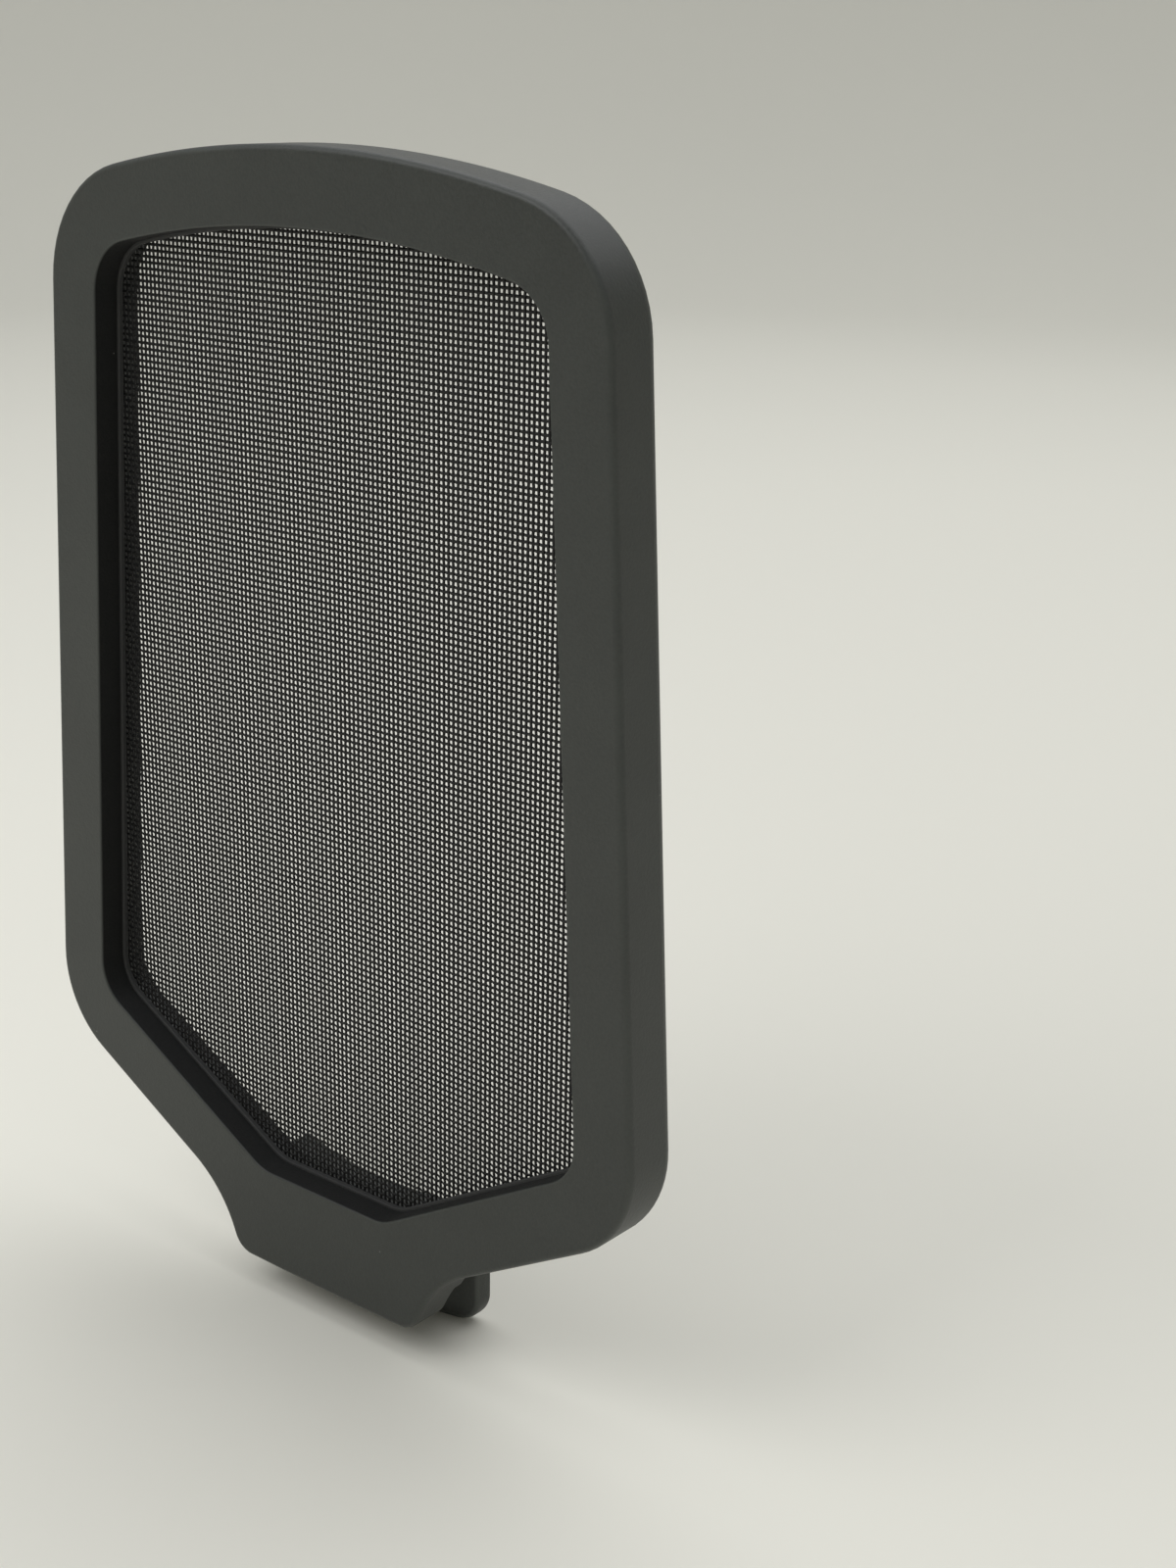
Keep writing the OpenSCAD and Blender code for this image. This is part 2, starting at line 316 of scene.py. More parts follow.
def split_at_seat(gap, *halves):
    """The halves with two more stations each, gap of a step apart, where the first half passes the seat's
    height, and then the number of the second of the two."""
    x, z = halves[0][:, :2].T
    k = int(np.argmax(z <= 0))
    crossing = k - z[k] / (z[k] - z[k - 1])
    at = np.insert(np.arange(len(x), dtype=float), k, [crossing - gap, crossing])
    taken = [np.column_stack([np.interp(at, np.arange(len(x)), column) for column in h.T]) for h in halves]
    return *taken, k + 1


class Outlines:
    """The frame's outer edge and its window, station by station on the right half."""

    def __init__(self, s):
        self.s = s
        self.hub = np.array([0, TOP_Z - s.arch_radius])
        half = s.top_width / 2
        self.edge = [
            np.array([half, self.hub[1] + math.sqrt(s.arch_radius**2 - half**2)]),
            np.array([s.low_width / 2, s.low_height]),
            np.array([s.root_width / 2, s.root_height]),
            np.array([s.tongue_width / 2, TONGUE_Z]),
        ]
        side, slope = self.inner_line(0, s.rim_side), self.inner_line(1, s.rim_low)
        window = [side[0], meet(*side, *slope), meet(*slope, *level_line(s.window_foot))]
        outer = shield(
            self.edge, [s.low_round, s.root_round, s.tongue_round], self.hub, s.arch_radius, s.top_round,
            [SIDE, SLOPE, 2, FOOT],
        )
        rounds = [s.window_side_round, s.window_round]
        spans = [SIDE, SLOPE, 2 + CORNER + 1 + FOOT]
        inner = shield(window, rounds, self.hub, s.arch_radius - s.rim_top, s.window_round, spans)
        self.outer, self.window, self.seat = split_at_seat(0.02, outer, inner)
        self.low = np.arange(len(self.outer)) >= self.seat
        # Share of the tongue's edge still ahead, from 1 at the seat to 0 in the middle of its foot
        steps = np.linalg.norm(np.diff(self.outer[self.seat:, :2], axis=0), axis=1)
        self.ahead = np.where(self.low, 0.0, 1.0)
        self.ahead[self.seat:] = 1 - np.r_[0, np.cumsum(steps)] / steps.sum()

    def inner_line(self, k, t):
        """A point and the direction of the line that runs t inside the stretch after corner k."""
        a, b = self.edge[k:k + 2]
        return a + inward(a, b) * t, b - a

    def inset(self, t):
        """The outer edge moved inwards by t."""
        return self.outer[:, :2] + self.outer[:, 2:] * np.reshape(t, (-1, 1))

    def opening(self, t):
        """The window's edge moved outwards by t."""
        return self.window[:, :2] - self.window[:, 2:] * t

    def levelled(self, points, z=0):
        """The points, with those of the tongue's edge spread along the level line at height z."""
        line = np.column_stack([points[self.seat, 0] * self.ahead, np.full(len(points), z)])
        return np.where(self.low[:, None], line, points)

    def pocket(self, t):
        """The edge of the space for the rear frame, moved inwards by t: the outer edge moved in past the
        skirt, and level over the tongue."""
        points = self.levelled(self.inset(self.s.skirt + t), self.s.floor + t)
        points[:, 1] = np.maximum(points[:, 1], self.s.floor + t)
        return points

    def screws(self, c):
        """Places of the frame screws, on the right and then on the left."""
        side, slope = (self.inner_line(k, c.screw_inset) for k in (0, 1))
        arch, half = self.s.arch_radius - c.screw_inset, c.screw_gap / 2
        right = [[half, self.hub[1] + math.sqrt(arch**2 - half**2)]]
        for line, height in ((side, c.screw_high), (side, c.screw_low), (slope, c.screw_foot)):
            right.append(meet(*line, *level_line(height)))
        return both_sides(right)


def shapes(scene):
    """The sizes of the frame and of the clip, and the frame's outlines."""
    return scene.filter_frame, scene.filter_clip, Outlines(scene.filter_frame)


def clip_places(c):
    """Places of the clip screws, half way up the clip's foot on the rear frame."""
    return both_sides([[c.clip_gap / 2, (REAR_Z + CLIP_HIGH.z) / 2]])


def around(half):
    """The whole loop of a right half that runs from the top's middle to the foot's."""
    flip = np.ones(half.shape[1])
    flip[0] = -1
    return np.vstack([half, half[-2:0:-1] * flip])


def lifted(points, y):
    """Points x, z of the face's plane as points in space at depth y."""
    return np.column_stack([points[:, 0], np.broadcast_to(y, len(points)), points[:, 1]])


def flat(points):
    """The x, z of points in space."""
    return points[:, [0, 2]]


def swept(outline, profile):
    """A whole ring for each (distance, depth) of a profile: the outline moved by the distance, and put at
    the depth."""
    return [around(lifted(outline(t), y)) for t, y in profile]


def circle(place, radius, count=SIDES):
    """Points x, z of a circle about a place."""
    a = np.linspace(0, 2 * math.pi, count, endpoint=False)
    return place + radius * np.column_stack([np.cos(a), np.sin(a)])


def inside(points, loop):
    """Which points lie inside a loop: those from which a ray to the right crosses it an odd number of
    times."""
    a, b = loop, np.roll(loop, -1, 0)
    x, z = points[:, None, 0], points[:, None, 1]
    spans = (a[:, 1] > z) != (b[:, 1] > z)
    rise = np.where(b[:, 1] == a[:, 1], 1, b[:, 1] - a[:, 1])
    return (spans & (x < a[:, 0] + (z - a[:, 1]) * (b[:, 0] - a[:, 0]) / rise)).sum(1) % 2 == 1


def in_region(points, triangles, edges, loops):
    """Which triangles lie inside the first loop and outside the others. Triangles that meet across an edge
    that no loop runs along form a patch, and the middle of a patch's largest triangle says where it lies.
    A patch of no area lies along a straight edge and is left out."""
    total = len(points)
    pairs = np.sort(np.stack([triangles, np.roll(triangles, -1, 1)], -1), -1)
    key = (pairs[..., 0] * total + pairs[..., 1]).ravel()
    bound = np.sort(edges, 1)
    free = ~np.isin(key, bound[:, 0] * total + bound[:, 1])
    key, owner = key[free], np.repeat(np.arange(len(triangles)), 3)[free]
    order = np.argsort(key, kind="stable")
    twin = key[order][:-1] == key[order][1:]
    a, b = owner[order][:-1][twin], owner[order][1:][twin]
    patch, before = np.arange(len(triangles)), None
    while before is None or (patch != before).any():
        before = patch.copy()
        np.minimum.at(patch, a, before[b])
        np.minimum.at(patch, b, before[a])
        patch = patch[patch]
    corner = points[triangles]
    u, v = corner[:, 1] - corner[:, 0], corner[:, 2] - corner[:, 0]
    area = np.abs(u[:, 0] * v[:, 1] - u[:, 1] * v[:, 0])
    by_area = np.argsort(area)
    largest = np.zeros(len(triangles), int)
    largest[patch[by_area]] = by_area
    middle = corner[largest[patch]].mean(1)
    keep = inside(middle, loops[0]) & (area[largest[patch]] > 1e-6 * MM**2)
    for hole in loops[1:]:
        keep &= ~inside(middle, hole)
    return keep


class Skin:
    """Points and faces of one closed surface, gathered part by part."""

    def __init__(self):
        self.points, self.quads, self.triangles = [], [], []
        self.marks = {"worn": [], "recess": []}
        self.count = 0

    def add(self, points, worn=0.0, recess=0.0):
        """Takes in points and returns the number of the first."""
        first = self.count
        self.points.append(points)
        self.marks["worn"].append(np.broadcast_to(worn, len(points)))
        self.marks["recess"].append(np.broadcast_to(recess, len(points)))
        self.count += len(points)
        return first

    def bridge(self, rings, worn=0.0, recess=0.0, closed=True):
        """Quads between each ring of points and the next, and two marks for each ring, or each point: its
        share of edge wear and painted highlight, and its share of painted shade inside the window, which is
        also matt."""
        rings = np.asarray(rings)
        rows, across = rings.shape[:2]
        worn, recess = (
            np.broadcast_to(mark if np.ndim(mark) > 1 else np.c_[np.ravel(mark)], (rows, across)).ravel()
            for mark in (worn, recess)
        )
        first = self.add(rings.reshape(-1, 3), worn, recess)
        number = first + np.arange(rows * across).reshape(rows, across)
        here, after = number, np.roll(number, -1, 1)
        if not closed:
            here, after = here[:, :-1], after[:, :-1]
        quads = [here[:-1], after[:-1], after[1:], here[1:]]
        self.quads.append(np.stack(quads, -1).reshape(-1, 4))

    def fill(self, loops, depth, inner=None):
        """Triangles of the region inside the first loop and outside the others, corner to corner. depth is
        a number, or a function of the points. inner holds more points for a curved region."""
        parts = list(loops) + ([] if inner is None else [inner])
        spots = np.vstack(parts)
        starts = np.cumsum([0] + [len(loop) for loop in loops])
        edges = [
            np.column_stack([k + np.arange(len(loop)), k + np.roll(np.arange(len(loop)), -1)])
            for k, loop in zip(starts, loops)
        ]
        made = delaunay_2d_cdt((spots / MM).tolist(), np.vstack(edges).tolist(), [], 0, 1e-7, False)
        if len(made[0]) != len(spots):
            raise RuntimeError("Two outlines of a flat face cross")
        triangles = np.array(made[2])
        kept = triangles[in_region(spots, triangles, np.vstack(edges), loops)]
        first = self.add(lifted(spots, depth(spots) if callable(depth) else depth))
        self.triangles.append(first + kept)

    def piece(self, name, slot, node):
        """A closed, smooth piece that stands for a CAD node, with its marks stored on its points."""
        mesh = mesh_of(name, np.vstack(self.points), *self.triangles, *self.quads)
        for key, mark in self.marks.items():
            kept = mesh.attributes.new(key, "FLOAT", "POINT")
            kept.data.foreach_set("value", np.concatenate(mark).astype(np.float32))
        weld(mesh)
        mesh.set_sharp_from_angle(angle=SHARP)
        return placed(mesh, slot, node)


def mesh_of(name, points, *faces):
    """A mesh with these points and blocks of faces."""
    mesh = bpy.data.meshes.new(name)
    mesh.from_pydata(points, [], [face for block in faces for face in block.tolist()])
    return mesh


def weld(mesh, closed=True):
    """Merges a mesh's doubled points and makes it smooth. A closed one has no open edge, and its faces are
    turned outwards."""
    work = bmesh.new()
    work.from_mesh(mesh)
    bmesh.ops.remove_doubles(work, verts=work.verts, dist=1e-7)
    if closed:
        bmesh.ops.dissolve_degenerate(work, edges=work.edges, dist=1e-8)
        if not all(edge.is_manifold for edge in work.edges):
            raise RuntimeError(f"{mesh.name} isn't closed")
        bmesh.ops.recalc_face_normals(work, faces=work.faces)
    work.to_mesh(mesh)
    work.free()
    mesh.shade_smooth()


def placed(mesh, slot, node):
    """The mesh as an object that rides on the filter's body and stands for a CAD node."""
    piece = bpy.data.objects.new(mesh.name, mesh)
    bpy.context.scene.collection.objects.link(piece)
    mesh.materials.append(material(slot))
    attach(piece, BODY)
    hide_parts(node)
    return piece


# Materials


class Value:
    """A socket that adds a Math node when it is used in an expression."""

    def __init__(self, nodes, socket):
        self.nodes, self.socket = nodes, socket

    def math(self, operation, reflected, other):
        """The Math node of this value and another, the other way round if it is reflected."""
        pair = (other, self) if reflected else (self, other)
        return self.nodes.add("ShaderNodeMath", {"operation": operation}, dict(enumerate(pair)))

    __add__ = partialmethod(math, "ADD", False)
    __radd__ = partialmethod(math, "ADD", True)
    __sub__ = partialmethod(math, "SUBTRACT", False)
    __rsub__ = partialmethod(math, "SUBTRACT", True)
    __mul__ = partialmethod(math, "MULTIPLY", False)
    __rmul__ = partialmethod(math, "MULTIPLY", True)
    __gt__ = partialmethod(math, "GREATER_THAN", False)
    __lt__ = partialmethod(math, "LESS_THAN", False)


class Nodes:
    """The nodes of one material."""

    def __init__(self, name, **sockets):
        self.material = bpy.data.materials.new(name)
        self.material.use_nodes = True
        self.tree = self.material.node_tree
        self.shader = self.tree.nodes["Principled BSDF"]
        for key, value in sockets.items():
            self.shader.inputs[key.replace("_", " ")].default_value = value

    def add(self, kind, settings=None, sockets=None, out=0):
        """A node of this kind, with its settings made before its sockets are filled or linked."""
        node = self.tree.nodes.new(kind)
        for key, value in (settings or {}).items():
            setattr(node, key, value)
        for key, value in (sockets or {}).items():
            if isinstance(value, Value):
                self.tree.links.new(value.socket, node.inputs[key])
            else:
                node.inputs[key].default_value = value
        return Value(self, node.outputs[out])

    def place(self):
        """The place on the piece, in metres."""
        return self.add("ShaderNodeTexCoord", out="Object")

    def noise(self, size, detail=2.0, stretch=None):
        """Cloudy noise from 0 to 1 with features of this size in metres."""
        place = self.place()
        if stretch:
            place = self.add("ShaderNodeMapping", None, {"Vector": place, "Scale": stretch})
        return self.add("ShaderNodeTexNoise", None, {"Vector": place, "Scale": 1 / size, "Detail": detail})

    def specks(self, spacing, radius, few):
        """Sparse round specks: cells of this spacing, of which the share few holds one."""
        sockets = {"Vector": self.place(), "Scale": 1 / spacing}
        distance = self.add("ShaderNodeTexVoronoi", None, sockets, "Distance")
        chance = self.add("ShaderNodeTexVoronoi", None, sockets, "Color")
        chance = self.add("ShaderNodeSeparateColor", None, {0: chance})
        return (distance < radius / spacing) * (chance < few)

    def attribute(self, name):
        """A number stored on the piece's points."""
        return self.add("ShaderNodeAttribute", {"attribute_name": name}, out="Fac")

    def mix(self, factor, low, high):
        """The colour low where factor is 0 and high where it is 1."""
        low, high = ((*c, 1) if isinstance(c, tuple) else c for c in (low, high))
        settings = {"data_type": "RGBA"}
        return self.add("ShaderNodeMix", settings, {0: factor, 6: low, 7: high}, out=2)

    def bump(self, height, distance, strength):
        """The normal over a surface of this height, from 0 to 1 times distance in metres."""
        sockets = {"Height": height, "Distance": distance, "Strength": strength}
        return self.add("ShaderNodeBump", None, sockets)

    def shade(self, **sockets):
        """Links values into the shader and returns the material."""
        for key, value in sockets.items():
            self.tree.links.new(value.socket, self.shader.inputs[key.replace("_", " ")])
        return self.material


def times(rgb, factor):
    """A colour made lighter or darker."""
    return tuple(min(1.0, c * factor) for c in rgb)


def moulded(name, rgb):
    """Satin moulded plastic: a fine spark-eroded grain, slow changes of tone and sheen, edges rubbed a
    little smoother and lighter with a painted highlight, painted shade that makes it near black and matt
    inside the window, and a few specks of dust."""
    finish = bpy.context.scene.filter_finish
    nodes = Nodes(name, Specular_IOR_Level=0.5)
    grain = nodes.noise(finish.grain, 3.0)
    tone = nodes.noise(9 * MM, 4.0)
    sheen = nodes.noise(24 * MM, 2.0)
    worn = nodes.attribute("worn")
    dust = nodes.specks(2.6 * MM, 0.07 * MM, 0.16)
    base = nodes.mix(1.3 * grain + 0.6 * tone - 0.45, times(rgb, 0.70), times(rgb, 1.32))
    # Lighter edges: partly rubbed wear, partly a painted highlight
    base = nodes.mix(worn * (0.3 + 0.6 * tone), base, times(rgb, 2.6))
    # Painted shade: the plastic made nearly black and more matt inside the window
    recess = nodes.attribute("recess")
    base = nodes.mix(recess, base, times(rgb, 0.08))
    base = nodes.mix(dust * 0.6, base, (0.26, 0.26, 0.24))
    rough = finish.satin + 0.16 * (grain - 0.5) + 0.10 * (sheen - 0.5) - 0.10 * worn + 0.25 * recess
    height = grain + 0.4 * nodes.noise(finish.grain * 2.6, 1.0)
    return nodes.shade(Base_Color=base, Roughness=rough, Normal=nodes.bump(height, 0.035 * MM, 0.8))


def monofilament(name, rgb):
    """Black drawn thread: a soft gloss with fine scuffs and a slow change of tone over the mesh."""
    nodes = Nodes(name, Specular_IOR_Level=0.28)
    scuff = nodes.noise(0.25 * MM, 2.0)
    tone = nodes.noise(7 * MM, 3.0)
    base = nodes.mix(0.4 * scuff + 0.6 * tone, times(rgb, 0.7), times(rgb, 1.6))
    lint = nodes.specks(3.5 * MM, 0.10 * MM, 0.10)
    base = nodes.mix(lint * 0.7, base, (0.30, 0.30, 0.28))
    return nodes.shade(Base_Color=base, Roughness=0.36 + 0.22 * scuff)


def blackened(name, rgb):
    """Black-oxide steel: fine turning marks, an uneven dull film, and bright metal on the rubbed edges."""
    nodes = Nodes(name, Metallic=1.0)
    film = nodes.noise(0.7 * MM, 4.0)
    marks = nodes.noise(0.05 * MM, 1.0, (1, 0.1, 1))
    worn = nodes.attribute("worn")
    base = nodes.mix(film, times(rgb, 0.7), times(rgb, 1.7))
    base = nodes.mix(worn * film, base, (0.34, 0.33, 0.32))
    return nodes.shade(
        Base_Color=base, Roughness=0.30 + 0.22 * film, Normal=nodes.bump(marks, 0.004 * MM, 0.4)
    )


# Each slot's material: its name, what makes it, and which of the finish's colours it takes
MATERIALS = {
    "frame_plastic": ("moulded_plastic", moulded, "plastic"),
    "ring_plastic": ("ring_plastic", moulded, "ring"),
    "mesh": ("mesh_thread", monofilament, "thread"),
    "screw_steel": ("black_steel", blackened, "steel"),
}


def material(slot):
    """The material of a slot, made once."""
    name, make, key = MATERIALS[slot]
    return bpy.data.materials.get(name) or make(name, tuple(getattr(bpy.context.scene.filter_finish, key)))


# Pieces


def rounding(edge, start_flat):
    """(inset, depth) pairs of a quarter round of radius edge: from the flat to the wall if start_flat is
    true, else from the wall to the flat. Depth is measured from the flat."""
    pairs = [(edge * (1 - np.sin(a)), edge * (1 - np.cos(a))) for a in QUARTER]
    return pairs if start_flat else pairs[::-1]


def bulge(count):
    """Wear over the rings of a rounded edge: none at its ends and most in its middle."""
    return np.sin(np.linspace(0, math.pi, count))


def wall(x, radius, s):
    """Depth of the upright cylinder of this radius about the shock mount's axis, on the filter's side."""
    axis = s.mount_radius + s.slot_clearance - slot_width(s) / 2
    return axis - np.sqrt(radius**2 - x**2)


def slot_width(s):
    """Width of the slot for the ring's wall."""
    return s.mount_wall + 2 * s.slot_clearance


# How fast the face's edge turns into the tongue's, over the share of the tongue's edge passed
FADE = 1.6
# Distance of the ring that keeps a flat face flat beside a rounded edge
SUPPORT = 0.06 * MM
# Share of the painted shade inside the window, where the surface is also matt, over the rings of a rounded
# edge that leads out of it
LIGHTER = np.linspace(1, 0, len(QUARTER))


class FILTER_OT_front_frame(bpy.types.Operator):
    """Front frame: rings of stations carried from the window's edge over the face, round the outer edge,
    along the side wall and the back, and down into the pocket. Below the seat, the back follows the
    ring's wall."""

    bl_idname = "pop_filter.front_frame"
    bl_label = "Front frame"

    def execute(self, context):
        s, c, lines = shapes(context.scene)
        low, skin = lines.low, Skin()

        def back(points):
            """Depth of the back: flat, and below the seat the ring's wall."""
            return np.where(low, wall(points[:, 0], s.mount_radius + s.slot_clearance, s), BACK_Y)

        # Face and side wall
        fade = np.clip(FADE * (1 - lines.ahead), 0, 1)
        front = s.face_edge + (s.tongue_face_edge - s.face_edge) * fade
        edge = np.where(low, s.tongue_edge, s.back_edge)
        rings = swept(lines.opening, [(s.window_edge + SUPPORT, FACE_Y)])
        profile = [(front + SUPPORT, FACE_Y), *((t, FACE_Y + d) for t, d in rounding(front, True))]
        profile += [(0, FACE_Y + front + SUPPORT), (0, back(lines.outer) - edge - SUPPORT)]
        rings += swept(lines.inset, profile)
        worn = [0, 0, *bulge(len(QUARTER)), 0, 0]

        # Back edge, or the tongue's edge at the slot
        for t, d in rounding(edge, False):
            points = lines.inset(t)
            rings.append(around(lifted(points, back(points) - d)))
        worn += list(0.6 * bulge(len(QUARTER)))

        # The tongue's back up to the seat, and the seat
        foot, heel = lines.inset(edge), lines.inset(s.back_edge)
        for f in np.linspace(0, 1, 5)[1:]:
            points = foot + (lines.levelled(foot) - foot) * f
            rings.append(around(lifted(points, back(points))))
        rings.append(around(lifted(lines.levelled(heel), BACK_Y)))

        # Back rim and the pocket's wall
        rings += swept(lines.pocket, [(0, BACK_Y), (0, PLATE_Y)])
        worn += [0] * 7
        # Edge wear with a painted highlight, strongest along the tongue's edge
        along = 0.3 + 0.7 * fade
        skin.bridge(rings, np.outer(worn, np.r_[along, along[-2:0:-1]]))

        # Pocket's floor with the screw holes, the ledge and the window's wall
        hole_r = c.shank / 2 + c.fit
        holes = [circle(p, hole_r) for p in np.vstack([lines.screws(c), clip_places(c)])]
        skin.fill([around(lines.pocket(0)), around(lines.opening(s.ledge_width)), *holes], PLATE_Y)
        for hole in holes:
            skin.bridge([lifted(hole, PLATE_Y), lifted(hole, SCREW_TIP_Y - s.clearance)])
            skin.fill([hole], SCREW_TIP_Y - s.clearance)
        profile = [(s.ledge_width, PLATE_Y), (s.ledge_width, LEDGE_Y), (0, LEDGE_Y)]
        profile += [(t, FACE_Y + d) for t, d in rounding(s.window_edge, False)]
        profile += [(s.window_edge + SUPPORT, FACE_Y)]
        # Wear with a painted highlight on the window's rounded edge; painted shade over the ledge and the
        # window's wall, fading out over that edge
        worn = [0, 0, 0, *(0.7 * bulge(len(QUARTER))), 0]
        skin.bridge(swept(lines.opening, profile), worn, [1, 1, 1, *LIGHTER, 0])
        skin.piece("front_shell", "frame_plastic", "front_frame")
        return {"FINISHED"}


class FILTER_OT_mesh_ring(bpy.types.Operator):
    """Mesh ring: a thin profile with a rounded lip carried round the window's outline."""

    bl_idname = "pop_filter.mesh_ring"
    bl_label = "Mesh ring"

    def execute(self, context):
        s, _, lines = shapes(context.scene)
        outer, lip = s.ledge_width - s.clearance, 0.12 * MM
        profile = [(outer, MESH_Y), (outer, LEDGE_Y)]
        profile += [(t - s.ring_step, LEDGE_Y + d) for t, d in rounding(lip, True)]
        profile += [(-s.ring_step, MESH_Y), (outer, MESH_Y)]
        skin = Skin()
        # Painted shade over the whole ring, which lies inside the window; wear with a painted highlight on
        # its lip
        skin.bridge(swept(lines.opening, profile), [0, 0, *(0.4 * bulge(len(QUARTER))), 0, 0], 0.7)
        skin.piece("mesh_ring_moulding", "ring_plastic", "mesh_ring")
        return {"FINISHED"}


class FILTER_OT_rear_frame(bpy.types.Operator):
    """Rear frame: rounded outer and window edges carried round its two outlines, a flat back and front
    between them, and countersunk holes."""

    bl_idname = "pop_filter.rear_frame"
    bl_label = "Rear frame"

    def execute(self, context):
        s, c, lines = shapes(context.scene)
        skin = Skin()

        def rim(start):
            """Profile of a rim: straight from the front, then rounded into the back."""
            bend = [(start + t, BACK_Y - d) for t, d in rounding(s.rear_edge, False)]
            return [(start, PLATE_Y), *bend, (start + s.rear_edge + SUPPORT, BACK_Y)]

        rims, windows = swept(lines.pocket, rim(s.clearance)), swept(lines.opening, rim(s.rear_step))
        worn = [0, *bulge(len(QUARTER)), 0]
        # Wear with a painted highlight on the rounded edges; painted shade on the window's wall, fading out
        # over its edge
        skin.bridge(rims, worn)
        skin.bridge(windows, worn, [1, *LIGHTER, 0])
        shank_r, head_r = c.shank / 2 + c.fit, c.head / 2 + c.fit
        sunk, plain = lines.screws(c), clip_places(c)
        fronts = [circle(p, shank_r) for p in np.vstack([sunk, plain])]
        backs = [circle(p, head_r) for p in sunk] + fronts[len(sunk):]
        skin.fill([flat(rims[-1]), flat(windows[-1]), *backs], BACK_Y)
        skin.fill([flat(rims[0]), flat(windows[0]), *fronts], PLATE_Y)
        for near, far in zip(fronts, backs):
            cone = BACK_Y - (c.head_height + c.fit if far is not near else 0)
            skin.bridge([lifted(near, PLATE_Y), lifted(near, cone), lifted(far, BACK_Y)])
        skin.piece("rear_shell", "frame_plastic", "rear_frame")
        return {"FINISHED"}


class FILTER_OT_clip(bpy.types.Operator):
    """Clip: a rounded outline carried from its front to its back. Above the seat the front is flat on the
    frame, and below it follows the inside of the ring's wall, with a lead-in at the tip. The back is
    hollow, about the same axis, with two counterbored holes."""

    bl_idname = "pop_filter.clip"
    bl_label = "Clip"

    def execute(self, context):
        s, c, _ = shapes(context.scene)
        jaw_r = s.mount_radius + s.slot_clearance - slot_width(s)
        right, top, tip = CLIP_HIGH.x, CLIP_HIGH.z, CLIP_LOW.z
        path = [np.array(p) for p in ([0, top], [right, top], [right, tip], [0, tip])]
        half, seat = split_at_seat(0.01, rounded(path, [c.foot_round, c.jaw_round], [10, 8, 10]))
        low = np.arange(len(half)) >= seat

        def front(points, below):
            """Depth of the front: flat above the seat, and below it the ring's wall and the lead-in."""
            lead = np.clip(1 - (points[:, 1] - tip) / c.lead_height, 0, 1)
            return np.where(below, wall(points[:, 0], jaw_r, s) + c.lead_width * lead, BACK_Y)

        def back(points):
            """Depth of the hollow back."""
            return wall(points[:, 0], jaw_r - c.jaw_thickness, s)

        def moved(t):
            """The outline moved inwards by t."""
            return half[:, :2] + half[:, 2:] * t

        rings = [lifted(moved(t), front(moved(t), low) + d) for t, d in rounding(c.edge, True)]
        rings += [lifted(moved(t), back(moved(t)) - d) for t, d in rounding(c.edge, False)]
        rings = [around(r) for r in rings]
        skin = Skin()
        # Edge wear with a painted highlight on the front and back edges
        skin.bridge(rings, [*bulge(len(QUARTER)), *bulge(len(QUARTER))])

        loop, columns, rows, margin = rings[0], 27, 14, 0.3 * MM
        x = np.linspace(loop[seat, 0], -loop[seat, 0], columns)
        above = np.column_stack([x, np.full(len(x), loop[seat - 1, 2])])
        below = np.column_stack([x, np.full(len(x), loop[seat, 2])])
        skin.bridge([lifted(above, BACK_Y), lifted(below, front(below, True))], closed=False)
        places = clip_places(c)
        shanks = [circle(p, c.shank / 2 + c.fit) for p in places]
        bores = [circle(p, c.head / 2 + c.fit) for p in places]
        upper, lower = np.roll(loop, seat - 1, 0)[:2 * seat - 1], loop[seat:len(loop) - seat + 1]
        skin.fill([np.vstack([flat(upper), above[1:-1]]), *shanks], BACK_Y)
        across, up = np.meshgrid(np.linspace(-right, right, columns), np.linspace(tip, top, rows))
        grid = np.column_stack([across.ravel(), up.ravel()])
        well_in = around(moved(c.edge * 2))
        points = np.vstack([grid, np.column_stack([x, np.full(len(x), tip + c.lead_height)])])
        points = points[inside(points, well_in) & (points[:, 1] < -margin)]
        skin.fill([np.vstack([flat(lower), below[-2:0:-1]])], lambda p: front(p, True), points)
        clear = inside(grid, well_in)
        for place in places:
            clear &= np.linalg.norm(grid - place, axis=1) > c.head / 2 + margin
        skin.fill([flat(rings[-1]), *bores], back, grid[clear])
        floor = CLIP_HEAD_Y - c.flat_height
        for bore, shank in zip(bores, shanks):
            steps = [(bore, back(bore)), (bore, floor), (shank, floor), (shank, BACK_Y)]
            skin.bridge([lifted(hole, y) for hole, y in steps])
        skin.piece("clip_moulding", "frame_plastic", "clip_jaw")
        return {"FINISHED"}


# Share of the cross's length and width that is left at its foot
CROSS_FOOT = 0.66, 0.8


def cross(place, size, width, turn):
    """A cross about a place: four arms, of this size from end to end and this width, turned by turn."""
    a, b = size / 2, width / 2
    arm = np.array([[a, -b], [a, b], [b, b]])
    points = []
    for k in range(4):
        q = k * math.pi / 2 + turn
        points.append(arm @ np.array([[math.cos(q), math.sin(q)], [-math.sin(q), math.cos(q)]]))
    return place + np.vstack(points)


